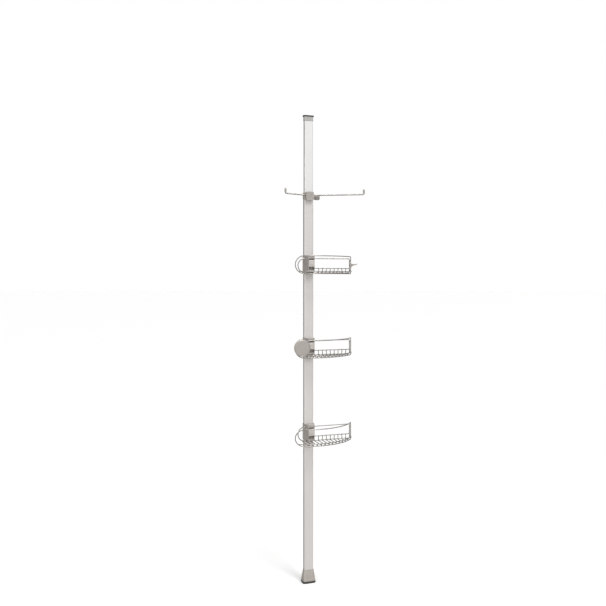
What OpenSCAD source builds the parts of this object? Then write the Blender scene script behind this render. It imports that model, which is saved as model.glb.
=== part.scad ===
// Floor-to-ceiling tension-pole shower caddy with three wire shelves, a hook bar and a small mirror.
// Units are millimetres, +Z is up, +X runs along the shelves and -Y is the front.
// The origin is the centre of the floor pad's underside.

/* [Pole] */
// Height from the floor to the ceiling
total_h = 2376; // [2296:10:2466]
// Width of the outer tube
tube_w = 50; // [48:1:52]
// Depth of the outer tube
tube_d = 22; // [21:1:23]
// Wall thickness of both tubes
tube_wall = 1.4; // [1.2:0.1:1.6]
// Height of the outer tube's open end
outer_top = 1965; // [1900:5:1990]
// Length of the inner tube that stays inside the outer tube
tube_overlap = 520; // [420:20:600]

/* [Foot and ceiling end] */
// Height of the foot housing's top edge
foot_h = 65; // [58:1:72]
// Thickness of the rubber floor pad
floor_pad_t = 9; // [7:1:11]
// Thickness of the rubber ceiling pad
ceiling_pad_t = 6; // [4:1:8]
// Height of the ceiling cap
cap_h = 22; // [20:1:28]

/* [Hook bar] */
// Reach of the long arm to the right of the pole
right_arm = 299; // [240:5:310]
// Reach of the short arm to the left of the pole
left_arm = 128; // [100:2:140]
// Upward angle of both arms, in degrees
arm_rise = 3; // [2:0.2:6]
// Height of the turned-up tips
tip_h = 29; // [22:1:34]

/* [Shelves] */
// Height of the upper shelf's back rail
upper_z = 1647; // [1599:4:1711]
// Height of the middle shelf's back rail
middle_z = 1231; // [1171:4:1291]
// Height of the lower shelf's back rail
lower_z = 796; // [740:4:852]
// Distance from the pole's centre to the shelves' right-hand end posts
rail_reach = 215; // [210:1:220]
// Radius of the frame wires
wire_r = 2.3; // [2:0.1:2.5]
// Radius of the floor wires
floor_wire_r = 1.9; // [1.6:0.1:2]
// Drop from the back rail to the mid rail
mid_drop = 50; // [48:1:52]
// Drop from the back rail to the front floor rail
floor_drop = 77; // [75:1:79]
// How much further out the front top rail lies than the front floor rail at the left end
front_flare = 26; // [20:1:30]

/* [Mirror] */
// Diameter of the mirror's frame
mirror_dia = 84; // [76:2:88]

/* [Hidden] */
SHELVES = ["upper", "middle", "lower"];
SHELF_PARTS = ["bracket", "rail_clip", "clip_screws", "grip_pad", "lever", "lever_pin", "lever_spring",
    "back_wire", "mid_rail", "front_wire", "guard_rail", "floor_wires"];

$fn = 48;
eps = 0.01;

// Clearances
slide_gap = 0.4;
fit_gap = 0.2;
run_gap = 0.06;

// Tubes
tube_r = 7;
cavity_w = tube_w - 2 * tube_wall;
cavity_d = tube_d - 2 * tube_wall;
cavity_r = tube_r - tube_wall;
inner_w = cavity_w - 2 * slide_gap;
inner_d = cavity_d - 2 * slide_gap;
inner_r = cavity_r - slide_gap;
inner_cavity_w = inner_w - 2 * tube_wall;
inner_cavity_d = inner_d - 2 * tube_wall;
inner_cavity_r = inner_r - tube_wall;

// Foot
pad_w = 68;
pad_d = 51;
pad_r = 12;
boss_w = 44;
boss_d = 26;
boss_r = 6;
boss_h = 4;
pocket_top = floor_pad_t + 8;
tube_bottom = 25;
plug_h = 50;
foot_screw_r = 2.5;
foot_screw_head_r = 5;

// Ceiling end
cap_bottom = total_h - ceiling_pad_t - cap_h;
cap_top = total_h - ceiling_pad_t;
cap_roof = 5;
inner_top = cap_bottom + 3;
inner_bottom = outer_top - tube_overlap;
seat_h = 22;
spring_len = 105;
seat_top = cap_top - cap_roof - spring_len;
rod_r = 4;
rod_below_seat = 30;
spring_mean_r = 5.6;
spring_wire_r = 0.9;
spring_turns = 9;

// Lock collar and hook bar
collar_w = 54;
collar_d = 28;
collar_r = 9;
collar_bottom = outer_top - 20;
collar_top = outer_top + 18;
bar_y = -22;
bar_z = outer_top + 2;
bar_r = 3.5;
bend_r = 6;
boss_front = -30;
bar_boss_w = 41;
bar_boss_h = 43;
bar_boss_r = 7;
tip_r = 5;
knob_z = outer_top - 6;
knob_r = 12.5;
knob_x = 32.5;
knob_len = 27;
knob_flutes = 10;
lock_screw_r = 3;
insert_r = 6;

// Shelf bracket
bracket_top = 13;
bracket_bottom = -68;
bracket_back = 14;
bracket_half = 27.5;
nose_front = -52;
nose_half = 16.5;
nose_start = -14;
rail_y = -28;
pocket_half = 20;
pocket_front = -30.6;
mid_rail_start = pocket_half + 2;
window_half = 14.6;
window_top = -1;
window_bottom = -59;
window_back = -36.2;
lever_half = 14;
lever_top = -8;
lever_bottom = -42;
lever_face = -53;
lever_t = 5.5;
pivot_y = -42;
pivot_z = -14;
pin_r = 2;
hub_r = 5.2;
hub_gap_half = 5;
cam_r = 4;
cam_y = -40.6;
cam_z = -18;
pad_front = -35.6;
pad_half = 12;
grip_top = -17;
grip_bottom = -34;
screw_x = 17;
screw_z = -26;
clip_screw_r = 1.5;

// Basket
weld = 0.4;
loop_r = 36;
loop_x = -28;
post_r = wire_r + 0.3;
back_floor_z = -2 * loop_r;
front_top_z = 10;
guard_rise = 11;
arc_r = 265;
arc_x = 10;
arc_y = 128;
arc_start = -16;
arc_end = 52;
floor_z = -floor_drop + 3;
floor_bend = 4;
floor_pitch = 21.2;
floor_first = -40.2;
floor_count = 12;
leg_from = 40;
leg_y = rail_y - wire_r - floor_wire_r + weld;

// The outward direction of the front arc at an angle from straight ahead, and a point on it
function outward(a) = [sin(a), -cos(a)];
function arc_point(a, r = arc_r) = [arc_x, arc_y] + r * outward(a);
function arc_front(x, r = arc_r) = arc_y - sqrt(r * r - (x - arc_x) * (x - arc_x));
function arc_angle(x) = asin((x - arc_x) / arc_r);

// The front top rail is the circle that leaves the flared left end in the same direction
// as the floor rail's arc and meets that arc again at the end post.
left_end = arc_point(arc_start);
front_post = arc_point(arc_end);
flared_end = left_end + front_flare * outward(arc_start);
top_chord = front_post - flared_end;
top_arc_r = -(top_chord * top_chord) / (2 * (top_chord * outward(arc_start)));
top_arc_centre = flared_end - top_arc_r * outward(arc_start);
top_end_dir = front_post - top_arc_centre;
top_arc_end = atan2(top_end_dir[0], -top_end_dir[1]);
front_rise = front_top_z + floor_drop;
flare_tilt = atan2(front_flare, front_rise);
front_loop_r = sqrt(front_flare * front_flare + front_rise * front_rise) / 2;
guard_r = arc_r + front_flare * guard_rise / front_rise;
guard_start = arc_start - 6;

// Mirror, in the middle shelf's own heights
mirror_x = -88;
mirror_y = -168;
mirror_z = -23;
mirror_t = 7;
glass_r = mirror_dia / 2 - 3;
hinge_y = -160;
hinge_pin_r = 2;
knuckle_r = 4.2;
arm_half = 4;
arm_front = -157;
arm_back = -151;
clip_x = -88;
clip_back = -135;
clip_bottom = -4;
clip_top = 15;
clip_slot = 3.8;

// Razor hook
hook_z = -34;
hook_clip_r = 5;

module rrect(w, d, r) {
    square([w, d - 2 * r], center = true);
    square([w - 2 * r, d], center = true);
    for (sx = [-1, 1], sy = [-1, 1])
        translate([sx * (w / 2 - r), sy * (d / 2 - r)])
            circle(r);
}

module rod_x(x0, x1, r) {
    translate([x0, 0, 0])
        rotate([0, 90, 0])
            cylinder(r = r, h = x1 - x0);
}

module rod_y(y0, y1, r) {
    translate([0, y1, 0])
        rotate([90, 0, 0])
            cylinder(r = r, h = y1 - y0);
}

module block(low, high) {
    translate(low)
        cube(high - low);
}

// A round wire swept along a path of points
function path_dir(p, i) =
    let (d = p[min(i + 1, len(p) - 1)] - p[max(i - 1, 0)]) d / norm(d);
function wire_ring(c, t, r, n, up) =
    let (a = cross(t, up), u = a / norm(a), v = cross(u, t))
    [for (k = [0:n - 1]) c + r * (cos(360 * k / n) * u + sin(360 * k / n) * v)];

module wire_sweep(path, r, n, up) {
    m = len(path);
    points = [for (i = [0:m - 1]) each wire_ring(path[i], path_dir(path, i), r, n, up)];
    sides = [for (i = [0:m - 2], k = [0:n - 1])
        let (a = i * n + k, b = i * n + (k + 1) % n)
        each [[a, a + n, b + n], [a, b + n, b]]];
    start_cap = [[for (k = [0:n - 1]) k]];
    end_cap = [[for (k = [n - 1:-1:0]) (m - 1) * n + k]];
    polyhedron(points, concat(start_cap, end_cap, sides), 4);
}

// Foot ------------------------------------------------------------------------------------

module floor_pad() {
    color("#1c1c1c") {
        linear_extrude(floor_pad_t)
            rrect(pad_w, pad_d, pad_r);
        translate([0, 0, floor_pad_t - eps])
            linear_extrude(boss_h)
                rrect(boss_w, boss_d, boss_r);
    }
}

module foot_housing() {
    color("#8f8a86")
        difference() {
            hull() {
                translate([0, 0, floor_pad_t])
                    linear_extrude(4)
                        rrect(pad_w - 3, pad_d - 3, pad_r - 1.5);
                translate([0, 0, foot_h - 3])
                    linear_extrude(3)
                        rrect(tube_w + 4, tube_d + 4, tube_r + 2);
            }
            translate([0, 0, floor_pad_t - 1])
                linear_extrude(pocket_top - floor_pad_t + 1)
                    rrect(boss_w + 2 * fit_gap, boss_d + 2 * fit_gap, boss_r);
            translate([0, 0, tube_bottom])
                linear_extrude(foot_h)
                    rrect(tube_w + 2 * fit_gap, tube_d + 2 * fit_gap, tube_r + fit_gap);
            cylinder(r = foot_screw_r + fit_gap, h = foot_h);
        }
}

module foot_plug() {
    color("#2b2b2b")
        difference() {
            translate([0, 0, tube_bottom])
                linear_extrude(plug_h)
                    rrect(cavity_w - 2 * fit_gap, cavity_d - 2 * fit_gap, cavity_r - fit_gap);
            cylinder(r = foot_screw_r + run_gap, h = tube_bottom + plug_h - 10);
        }
}

module foot_screw() {
    color("#c9c9c9") {
        translate([0, 0, pocket_top - 3.5])
            cylinder(r = foot_screw_head_r, h = 3.5);
        translate([0, 0, pocket_top - eps])
            cylinder(r = foot_screw_r, h = 40);
    }
}

// Pole ------------------------------------------------------------------------------------

module outer_tube() {
    color("#c9c5c1")
        difference() {
            translate([0, 0, tube_bottom])
                linear_extrude(outer_top - tube_bottom)
                    rrect(tube_w, tube_d, tube_r);
            translate([0, 0, tube_bottom - 1])
                linear_extrude(outer_top)
                    rrect(cavity_w, cavity_d, cavity_r);
            translate([0, 0, knob_z])
                rod_x(0, tube_w, lock_screw_r + 1);
        }
}

module inner_tube() {
    color("#dedcd9")
        difference() {
            translate([0, 0, inner_bottom])
                linear_extrude(inner_top - inner_bottom)
                    rrect(inner_w, inner_d, inner_r);
            translate([0, 0, inner_bottom - 1])
                linear_extrude(inner_top)
                    rrect(inner_cavity_w, inner_cavity_d, inner_cavity_r);
        }
}

module inner_shoe() {
    color("#2b2b2b") {
        translate([0, 0, inner_bottom - 6])
            linear_extrude(6)
                rrect(inner_w, inner_d, inner_r);
        translate([0, 0, inner_bottom - eps])
            linear_extrude(30)
                rrect(inner_cavity_w - 2 * fit_gap, inner_cavity_d - 2 * fit_gap,
                    inner_cavity_r - fit_gap);
    }
}

// Ceiling end -----------------------------------------------------------------------------

module spring_seat() {
    color("#2b2b2b")
        difference() {
            translate([0, 0, seat_top - seat_h])
                linear_extrude(seat_h)
                    rrect(inner_cavity_w - 2 * fit_gap, inner_cavity_d - 2 * fit_gap,
                        inner_cavity_r - fit_gap);
            translate([0, 0, seat_top - seat_h - 1])
                cylinder(r = rod_r + slide_gap, h = seat_h + 2);
        }
}

module ceiling_spring() {
    steps = spring_turns * 10;
    rise = spring_len - 2 * spring_wire_r - 0.6;
    color("#9a9a9a")
        wire_sweep([for (i = [0:steps])
            let (a = 36 * i)
            [spring_mean_r * cos(a), spring_mean_r * sin(a),
                seat_top + spring_wire_r + 0.3 + rise * i / steps]],
            spring_wire_r, 6, [0, 0, 1]);
}

module guide_rod() {
    color("#b5b5b5") {
        translate([0, 0, seat_top - seat_h - rod_below_seat])
            cylinder(r = rod_r, h = cap_top - cap_roof - seat_top + seat_h + rod_below_seat);
    }
}

module top_cap() {
    color("#a9a6a3")
        difference() {
            translate([0, 0, cap_bottom])
                linear_extrude(cap_h)
                    rrect(tube_w, tube_d, tube_r);
            translate([0, 0, cap_bottom - 1])
                linear_extrude(cap_h - cap_roof + 1)
                    rrect(cavity_w, cavity_d, cavity_r);
        }
}

module ceiling_pad() {
    color("#1c1c1c")
        translate([0, 0, cap_top])
            linear_extrude(ceiling_pad_t)
                rrect(tube_w + 7, tube_d + 5, tube_r + 2);
}

// Lock collar and hook bar ------------------------------------------------------------------

// Length of an arm up to its bend, and the height at which the bend turns upright
function arm_run(reach) = (reach - bend_r * (1 - sin(arm_rise))) / cos(arm_rise);
function arm_end_z(reach) = bar_z + arm_run(reach) * sin(arm_rise) + bend_r * cos(arm_rise);

// One arm of the hook bar, from the middle of the boss to its upright tip
module hook_arm(reach, r) {
    run = arm_run(reach);
    translate([0, bar_y, bar_z])
        rotate([0, -arm_rise, 0]) {
            rod_x(0, run, r);
            translate([run, 0, bend_r])
                rotate([90, 0, 0])
                    rotate([0, 0, -90])
                        rotate_extrude(angle = 90 - arm_rise)
                            translate([bend_r, 0])
                                circle(r);
        }
}

module hook_bar() {
    color("#b9b5b0") {
        hook_arm(right_arm, bar_r);
        mirror([1, 0, 0])
            hook_arm(left_arm, bar_r);
    }
}

// A rounded cap that stands on the end of one arm's bend
module hook_tip(reach) {
    translate([reach, bar_y, arm_end_z(reach) + eps])
        rotate_extrude()
            polygon([[0, 0], [tip_r - 1, 0], [tip_r, 1], [tip_r, tip_h - 12],
                [tip_r - 0.8, tip_h - 9.6], [tip_r - 2.4, tip_h - 8.2], [0, tip_h - 7.6]]);
}

module hook_tips() {
    color("#8f8a86") {
        hook_tip(right_arm);
        mirror([1, 0, 0])
            hook_tip(left_arm);
    }
}

module lock_collar() {
    color("#8f8a86")
        difference() {
            union() {
                translate([0, 0, collar_bottom])
                    linear_extrude(collar_top - collar_bottom)
                        rrect(collar_w, collar_d, collar_r);
                translate([0, -collar_d / 2 + 2, (collar_bottom + collar_top) / 2])
                    rotate([90, 0, 0])
                        linear_extrude(-collar_d / 2 + 2 - boss_front)
                            rrect(bar_boss_w, bar_boss_h, bar_boss_r);
                translate([0, 0, knob_z])
                    rod_x(tube_w / 2 + 1, knob_x - 1, 10);
            }
            translate([0, 0, collar_bottom - 1])
                linear_extrude(outer_top - collar_bottom + 1)
                    rrect(tube_w + 2 * fit_gap, tube_d + 2 * fit_gap, tube_r + fit_gap);
            translate([0, 0, outer_top - 1])
                linear_extrude(collar_top)
                    rrect(cavity_w, cavity_d, cavity_r);
            translate([0, 0, knob_z])
                rod_x(0, knob_x, insert_r);
            hook_arm(right_arm, bar_r + run_gap);
            mirror([1, 0, 0])
                hook_arm(left_arm, bar_r + run_gap);
        }
}

module lock_insert() {
    color("#b08d57")
        translate([0, 0, knob_z])
            difference() {
                rod_x(tube_w / 2 + 0.5, knob_x - 1, insert_r - run_gap);
                rod_x(0, knob_x, lock_screw_r + run_gap);
            }
}

module lock_screw() {
    color("#c9c9c9")
        translate([0, 0, knob_z])
            rod_x(inner_w / 2 + 0.4, knob_x + 15, lock_screw_r);
}

module lock_knob() {
    color("#a5a19d")
        translate([0, 0, knob_z])
            difference() {
                rod_x(knob_x, knob_x + knob_len, knob_r);
                rod_x(knob_x - 1, knob_x + 15, lock_screw_r);
                for (k = [0:knob_flutes - 1])
                    rotate([360 * k / knob_flutes, 0, 0])
                        translate([0, 0, knob_r + 1])
                            rod_x(knob_x + 5, knob_x + knob_len + 1, 2.6);
            }
}

// Shelf bracket -------------------------------------------------------------------------------

module bracket_outline() {
    polygon([
        [-bracket_half + 6, bracket_back], [bracket_half - 6, bracket_back],
        [bracket_half - 1.8, bracket_back - 1.8], [bracket_half, bracket_back - 6],
        [bracket_half, nose_start], [nose_half + 1.4, nose_front + 5],
        [nose_half - 0.6, nose_front + 1.6], [nose_half - 4, nose_front],
        [-nose_half + 4, nose_front], [-nose_half + 0.6, nose_front + 1.6],
        [-nose_half - 1.4, nose_front + 5], [-bracket_half, nose_start],
        [-bracket_half, bracket_back - 6], [-bracket_half + 1.8, bracket_back - 1.8]]);
}

module bracket() {
    color("#8f8a86")
        difference() {
            translate([0, 0, bracket_bottom])
                linear_extrude(bracket_top - bracket_bottom)
                    bracket_outline();
            translate([0, 0, bracket_bottom - 1])
                linear_extrude(bracket_top - bracket_bottom + 2)
                    rrect(tube_w + 2 * slide_gap, tube_d + 2 * slide_gap, tube_r);
            block([-pocket_half, pocket_front, -mid_drop - 7], [pocket_half, 0, 7]);
            for (slot = [[-50, 0], [-mid_rail_start - 0.3, -mid_drop]])
                block([slot[0], pocket_front, slot[1] - wire_r - 0.3],
                    [50, 0, slot[1] + wire_r + 0.3]);
            block([-window_half, nose_front - 5, window_bottom], [window_half, window_back, window_top]);
            block([-pad_half - fit_gap, -50, grip_bottom - fit_gap],
                [pad_half + fit_gap, 0, grip_top + fit_gap]);
            translate([0, pivot_y, pivot_z])
                rod_x(-17.6, 17.6, pin_r + 0.03);
            for (sx = [-1, 1])
                translate([sx * screw_x, 0, screw_z])
                    rod_y(-38, 0, clip_screw_r + 0.03);
        }
}

module rail_clip() {
    color("#6f6b68")
        difference() {
            block([-pocket_half + fit_gap, rail_y + wire_r + 0.1, -mid_drop - 7 + fit_gap],
                [pocket_half - fit_gap, -tube_d / 2 - slide_gap - 0.4, 7 - fit_gap]);
            block([-pad_half - fit_gap, -50, grip_bottom - fit_gap],
                [pad_half + fit_gap, 0, grip_top + fit_gap]);
            for (sx = [-1, 1])
                translate([sx * screw_x, 0, screw_z]) {
                    rod_y(-38, 0, clip_screw_r + 0.03);
                    rod_y(-14.8, 0, 2.8);
                }
        }
}

module clip_screws() {
    color("#c9c9c9")
        for (sx = [-1, 1])
            translate([sx * screw_x, 0, screw_z]) {
                rod_y(-37.5, -13, clip_screw_r);
                rod_y(-14.7, -12.6, 2.7);
            }
}

module grip_pad() {
    color("#2b2b2b")
        block([-pad_half, pad_front, grip_bottom], [pad_half, -tube_d / 2 - slide_gap, grip_top]);
}

module lever() {
    color("#c4c0bc")
        difference() {
            union() {
                block([-lever_half, lever_face, lever_bottom], [lever_half, lever_face + lever_t, lever_top]);
                for (x = [-lever_half, hub_gap_half]) {
                    translate([0, pivot_y, pivot_z])
                        rod_x(x, x + lever_half - hub_gap_half, hub_r);
                    translate([0, cam_y, cam_z])
                        rod_x(x, x + lever_half - hub_gap_half, cam_r);
                    block([x, lever_face + 2, pivot_z - 4], [x + lever_half - hub_gap_half, pivot_y, pivot_z + 4]);
                }
            }
            translate([0, pivot_y, pivot_z])
                rod_x(-lever_half - 1, lever_half + 1, pin_r + run_gap);
        }
}

module lever_pin() {
    color("#c9c9c9")
        translate([0, pivot_y, pivot_z])
            rod_x(-17.5, 17.5, pin_r);
}

module lever_spring() {
    turns = 4;
    steps = turns * 10;
    half = hub_gap_half - 1;
    color("#9a9a9a")
        wire_sweep([for (i = [0:steps])
            let (a = 36 * i)
            [-half + 2 * half * i / steps, pivot_y + 3.2 * cos(a), pivot_z + 3.2 * sin(a)]],
            0.5, 6, [1, 0, 0]);
}

// Basket ------------------------------------------------------------------------------------------

// Back frame: two rails joined by a half-round loop on the left and a post on the right
module back_wire() {
    color("#c8c4bf") {
        translate([0, rail_y, 0])
            rod_x(loop_x, rail_reach, wire_r);
        translate([0, rail_y, back_floor_z])
            rod_x(loop_x, rail_reach, wire_r);
        translate([loop_x, rail_y, -loop_r])
            rotate([90, 0, 0])
                rotate([0, 0, 90])
                    rotate_extrude(angle = 180)
                        translate([loop_r, 0])
                            circle(wire_r);
        translate([rail_reach, rail_y, back_floor_z - post_r])
            cylinder(r = post_r, h = 2 * loop_r + 2 * post_r);
    }
}

module mid_rail() {
    color("#c8c4bf")
        translate([0, rail_y, -mid_drop])
            rod_x(-mid_rail_start, rail_reach - post_r + weld, wire_r);
}

// A level arc of wire between two angles from straight ahead
module level_arc(centre, radius, from, to, z, r) {
    translate([centre[0], centre[1], z])
        rotate([0, 0, from - 90])
            rotate_extrude(angle = to - from)
                translate([radius, 0])
                    circle(r);
}

// A profile swept round the half-round loop that joins the front rails at the left
module along_front_loop() {
    translate([(left_end[0] + flared_end[0]) / 2, (left_end[1] + flared_end[1]) / 2,
        (front_top_z - floor_drop) / 2])
        rotate([0, 0, 90 + arc_start])
            rotate([0, -90 - flare_tilt, 0])
                rotate_extrude(angle = 180)
                    children();
}

// Front frame: a flared top rail and a floor rail, joined by a half-round loop and a post
module front_wire() {
    color("#c8c4bf") {
        level_arc([arc_x, arc_y], arc_r, arc_start, arc_end, -floor_drop, wire_r);
        level_arc(top_arc_centre, top_arc_r, arc_start, top_arc_end, front_top_z, wire_r);
        along_front_loop()
            translate([front_loop_r, 0])
                circle(wire_r);
        for (end = [[left_end, -floor_drop], [flared_end, front_top_z]])
            translate([end[0][0], end[0][1], end[1]])
                sphere(r = post_r);
        translate([front_post[0], front_post[1], -floor_drop - post_r])
            cylinder(r = post_r, h = front_rise + 2 * post_r);
        for (z = [-12, -60])
            translate([rail_reach, rail_y, z])
                rotate([0, 90, atan2(front_post[1] - rail_y, front_post[0] - rail_reach)])
                    translate([0, 0, post_r - weld])
                        cylinder(r = floor_wire_r, h = 9 - 2 * post_r + 2 * weld);
    }
}

module guard_rail() {
    color("#c8c4bf")
        level_arc([arc_x, arc_y], guard_r, guard_start, arc_end, guard_rise - floor_drop, floor_wire_r);
}

// A quarter bend in a wire that runs along Y, turning up at its near or far end
module floor_bend_up(y, dir) {
    translate([0, y - dir * floor_bend, floor_z + floor_bend])
        rotate([0, 90, 0])
            rotate([0, 0, dir > 0 ? 0 : -90])
                rotate_extrude(angle = 90)
                    translate([floor_bend, 0])
                        circle(floor_wire_r);
}

// Floor wires: a long run forwards, turned up behind the guard rail and, clear of the bracket,
// turned up against the back rails as far as the mid rail
module floor_wires() {
    color("#c8c4bf")
        for (i = [0:floor_count - 1]) {
            x = floor_first + i * floor_pitch;
            exact_y = arc_front(x, guard_r) + (2 * floor_wire_r - weld) / cos(arc_angle(x));
            front_y = round(10 * exact_y) / 10;
            has_leg = x > leg_from;
            back_y = has_leg ? leg_y : rail_y - 1;
            translate([x, 0, 0]) {
                floor_bend_up(front_y, -1);
                translate([0, front_y, floor_z + floor_bend])
                    cylinder(r = floor_wire_r, h = guard_rise - floor_drop + 2 - floor_z - floor_bend);
                translate([0, 0, floor_z])
                    rod_y(front_y + floor_bend, back_y - (has_leg ? floor_bend : 0), floor_wire_r);
                if (has_leg) {
                    floor_bend_up(back_y, 1);
                    translate([0, back_y, floor_z + floor_bend])
                        cylinder(r = floor_wire_r, h = 2 - mid_drop - floor_z - floor_bend);
                }
            }
        }
}

// Accessories ---------------------------------------------------------------------------------------

// A clip on the upper shelf's front post with one tapered prong
module razor_hook() {
    color("#8f8a86")
        translate([front_post[0], front_post[1], hook_z])
            difference() {
                union() {
                    translate([0, 0, -9])
                        cylinder(r = hook_clip_r, h = 18);
                    translate([0, 3.5, 0])
                        rotate([90, 0, 0])
                            linear_extrude(7)
                                polygon([[3, -9], [3, 9], [18, 6.6], [33, 8.4], [36, 10], [36.6, 7.6],
                                    [33, 3.6], [18, -1.6]]);
                }
                translate([0, 0, -20])
                    cylinder(r = post_r + 0.05, h = 40);
                block([-9, -2.2, -20], [0, 2.2, 20]);
            }
}

// A block snapped onto the front loop from outside, with an arm down to the hinge
module mirror_clip() {
    color("#8f8a86") {
        difference() {
            block([clip_x - 8, arm_front, clip_bottom], [clip_x + 8, clip_back, clip_top]);
            along_front_loop()
                translate([front_loop_r, 0])
                    circle(wire_r + run_gap);
            along_front_loop()
                translate([front_loop_r - 20, -clip_slot / 2])
                    square([20, clip_slot]);
        }
        block([clip_x - arm_half, arm_front, mirror_z], [clip_x + arm_half, arm_back, clip_bottom + eps]);
        difference() {
            translate([0, hinge_y, mirror_z])
                rod_x(clip_x - arm_half, clip_x + arm_half, knuckle_r);
            translate([0, hinge_y, mirror_z])
                rod_x(clip_x - 9, clip_x + 9, hinge_pin_r + 0.03);
        }
    }
}

module mirror_pin() {
    color("#c9c9c9")
        translate([0, hinge_y, mirror_z])
            rod_x(mirror_x - 10, mirror_x + 10, hinge_pin_r);
}

module mirror_frame() {
    color("#8f8a86")
        difference() {
            union() {
                translate([mirror_x, 0, mirror_z])
                    rod_y(mirror_y - mirror_t / 2, mirror_y + mirror_t / 2, mirror_dia / 2);
                for (x = [mirror_x - 10, mirror_x + 5])
                    block([x, mirror_y, mirror_z - 5], [x + 5, hinge_y + 4.5, mirror_z + 5]);
            }
            translate([mirror_x, 0, mirror_z])
                rod_y(mirror_y - mirror_t / 2 - 1, mirror_y - mirror_t / 2 + 3, glass_r + 0.05);
            translate([0, hinge_y, mirror_z])
                rod_x(mirror_x - 20, mirror_x + 20, hinge_pin_r + run_gap);
        }
}

module mirror_glass() {
    color("#aeb2b5")
        translate([mirror_x, 0, mirror_z])
            rod_y(mirror_y - mirror_t / 2 + 0.4, mirror_y - mirror_t / 2 + 3, glass_r);
}

module shelf_part(part) {
    if (part == "bracket") bracket();
    if (part == "rail_clip") rail_clip();
    if (part == "clip_screws") clip_screws();
    if (part == "grip_pad") grip_pad();
    if (part == "lever") lever();
    if (part == "lever_pin") lever_pin();
    if (part == "lever_spring") lever_spring();
    if (part == "back_wire") back_wire();
    if (part == "mid_rail") mid_rail();
    if (part == "front_wire") front_wire();
    if (part == "guard_rail") guard_rail();
    if (part == "floor_wires") floor_wires();
}

floor_pad();
foot_housing();
foot_plug();
foot_screw();
outer_tube();
lock_collar();
lock_insert();
hook_bar();
hook_tips();
lock_knob();
lock_screw();
inner_tube();
inner_shoe();
spring_seat();
ceiling_spring();
guide_rod();
top_cap();
ceiling_pad();
translate([0, 0, upper_z]) razor_hook();
translate([0, 0, middle_z]) mirror_clip();
translate([0, 0, middle_z]) mirror_pin();
translate([0, 0, middle_z]) mirror_frame();
translate([0, 0, middle_z]) mirror_glass();
for (s = [0:2], part = SHELF_PARTS)
    translate([0, 0, [upper_z, middle_z, lower_z][s]]) shelf_part(part);
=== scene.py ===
from math import asin, atan2, copysign, cos, hypot, pi, radians, sin, sqrt, tan

import bpy
from mathutils import Matrix, Vector


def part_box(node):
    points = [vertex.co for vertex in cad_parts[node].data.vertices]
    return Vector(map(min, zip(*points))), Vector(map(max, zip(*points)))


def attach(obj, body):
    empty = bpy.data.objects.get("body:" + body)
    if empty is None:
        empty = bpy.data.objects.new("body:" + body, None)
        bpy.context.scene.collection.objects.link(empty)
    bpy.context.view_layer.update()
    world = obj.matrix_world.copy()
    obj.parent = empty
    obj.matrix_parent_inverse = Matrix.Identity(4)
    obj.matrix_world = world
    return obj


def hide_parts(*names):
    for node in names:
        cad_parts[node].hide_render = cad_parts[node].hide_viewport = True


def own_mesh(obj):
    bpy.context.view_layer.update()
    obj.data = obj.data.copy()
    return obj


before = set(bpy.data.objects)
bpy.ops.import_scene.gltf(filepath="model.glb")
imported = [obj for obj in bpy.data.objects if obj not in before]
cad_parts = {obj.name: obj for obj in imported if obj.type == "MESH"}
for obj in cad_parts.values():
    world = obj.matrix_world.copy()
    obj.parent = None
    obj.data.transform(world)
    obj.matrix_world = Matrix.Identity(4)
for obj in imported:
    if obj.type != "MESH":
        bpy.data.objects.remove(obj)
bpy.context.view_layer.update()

# Sizes are in metres in the row frame: +Z up the pole, +X along the shelves, -Y the front.
MM = 0.001
SHELVES = ("upper", "middle", "lower")


def middle(node):
    low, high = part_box(node)
    return (Vector(low) + Vector(high)) / 2


def span(node):
    low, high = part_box(node)
    return Vector(high) - Vector(low)


# --- Mesh building ---

LOFT_GIRTH = 0.14   # the V that a lofted skin's outline covers


def rounded_rect(width, depth, radius, steps=8):
    """A closed outline in the XY plane, anticlockwise, with round corners."""
    outline = []
    for quarter in range(4):
        sx = 1 if quarter in (0, 3) else -1
        sy = 1 if quarter in (0, 1) else -1
        cx, cy = sx * (width / 2 - radius), sy * (depth / 2 - radius)
        for i in range(steps + 1):
            a = pi / 2 * (quarter + i / steps)
            outline.append((cx + radius * cos(a), cy + radius * sin(a)))
    return outline


def inset_rect(width, depth, radius, inset, steps=8):
    """A rounded rectangle whose sides are all moved in by an inset."""
    return rounded_rect(width - 2 * inset, depth - 2 * inset, radius - inset, steps)


def hull_outline(points):
    """The convex outline round a set of 2-D points, anticlockwise."""
    points = sorted(set(points))

    def half(run):
        chain = []
        for p in run:
            while len(chain) > 1:
                (ax, ay), (bx, by) = chain[-2], chain[-1]
                if (bx - ax) * (p[1] - ay) - (by - ay) * (p[0] - ax) > 1e-12:
                    break
                chain.pop()
            chain.append(p)
        return chain[:-1]

    return half(points) + half(points[::-1])


def turns(count):
    """The angles of a full turn in equal steps."""
    return [2 * pi * k / count for k in range(count)]


def disc(cx, cy, radius, steps=32):
    return [(cx + radius * cos(a), cy + radius * sin(a)) for a in turns(steps)]


def rim(radius, steps):
    """(radius, height) pairs from (inset from the radius, height) pairs in millimetres."""
    return [(radius - inset * MM, height * MM) for inset, height in steps]


def running(distances):
    """The running total of a list of distances, from 0."""
    lengths = [0.0]
    for distance in distances:
        lengths.append(lengths[-1] + distance)
    return lengths


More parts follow.
